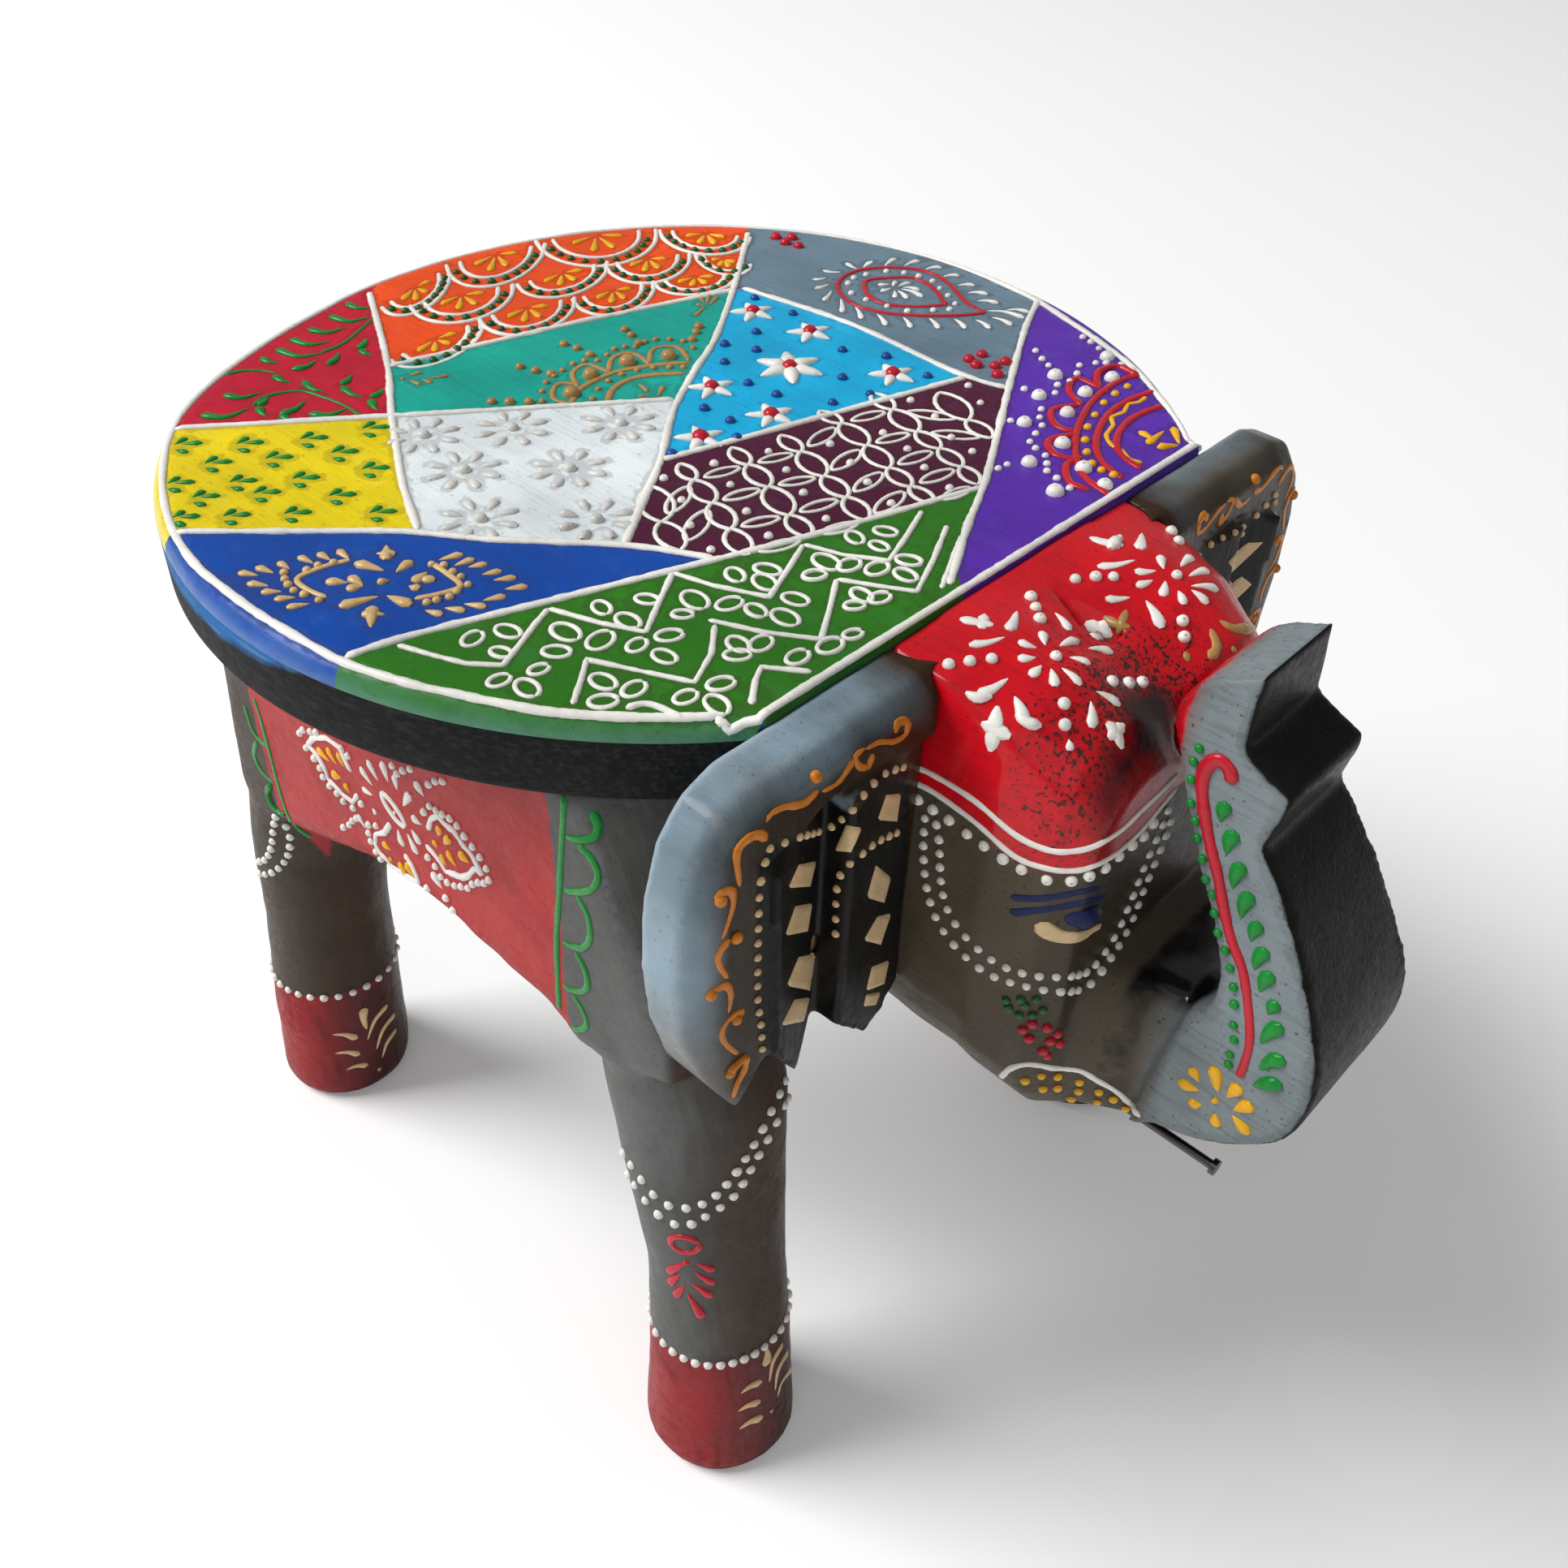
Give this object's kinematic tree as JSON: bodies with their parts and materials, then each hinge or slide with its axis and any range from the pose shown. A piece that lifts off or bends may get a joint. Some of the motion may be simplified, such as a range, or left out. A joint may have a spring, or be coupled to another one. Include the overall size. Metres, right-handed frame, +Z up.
{
  "type": "carved elephant stool",
  "caption": "Low round wooden stool carved as a standing elephant with a raised trunk, painted in a patchwork of patterns.",
  "frame": {"origin": "on the floor, under the middle of the stool's whole length and width", "axes": "+X forward to the trunk, +Y to the elephant's left, +Z up from the floor"},
  "size_m": [0.3337, 0.266, 0.2645],
  "materials": {
    "painted_wood_seat": "gloss",
    "painted_wood_body": "satin",
    "painted_wood_head": "gloss",
    "painted_wood_ears": "satin",
    "relief_paint": "gloss",
    "nail_steel": "dull",
    "peg_wood": "raw"
  },
  "bodies": {
    "root": {"seat_board": "painted_wood_seat", "side_plank_right": "painted_wood_body", "side_plank_left": "painted_wood_body", "belly_block": "painted_wood_body", "head_block": "painted_wood_head", "ear_right": "painted_wood_ears", "ear_left": "painted_wood_ears", "seat_nails": "nail_steel", "tusk_nails": "nail_steel", "plank_pegs": "peg_wood", "neck_pegs": "peg_wood", "ear_pegs": "peg_wood"}
  },
  "joints": []
}
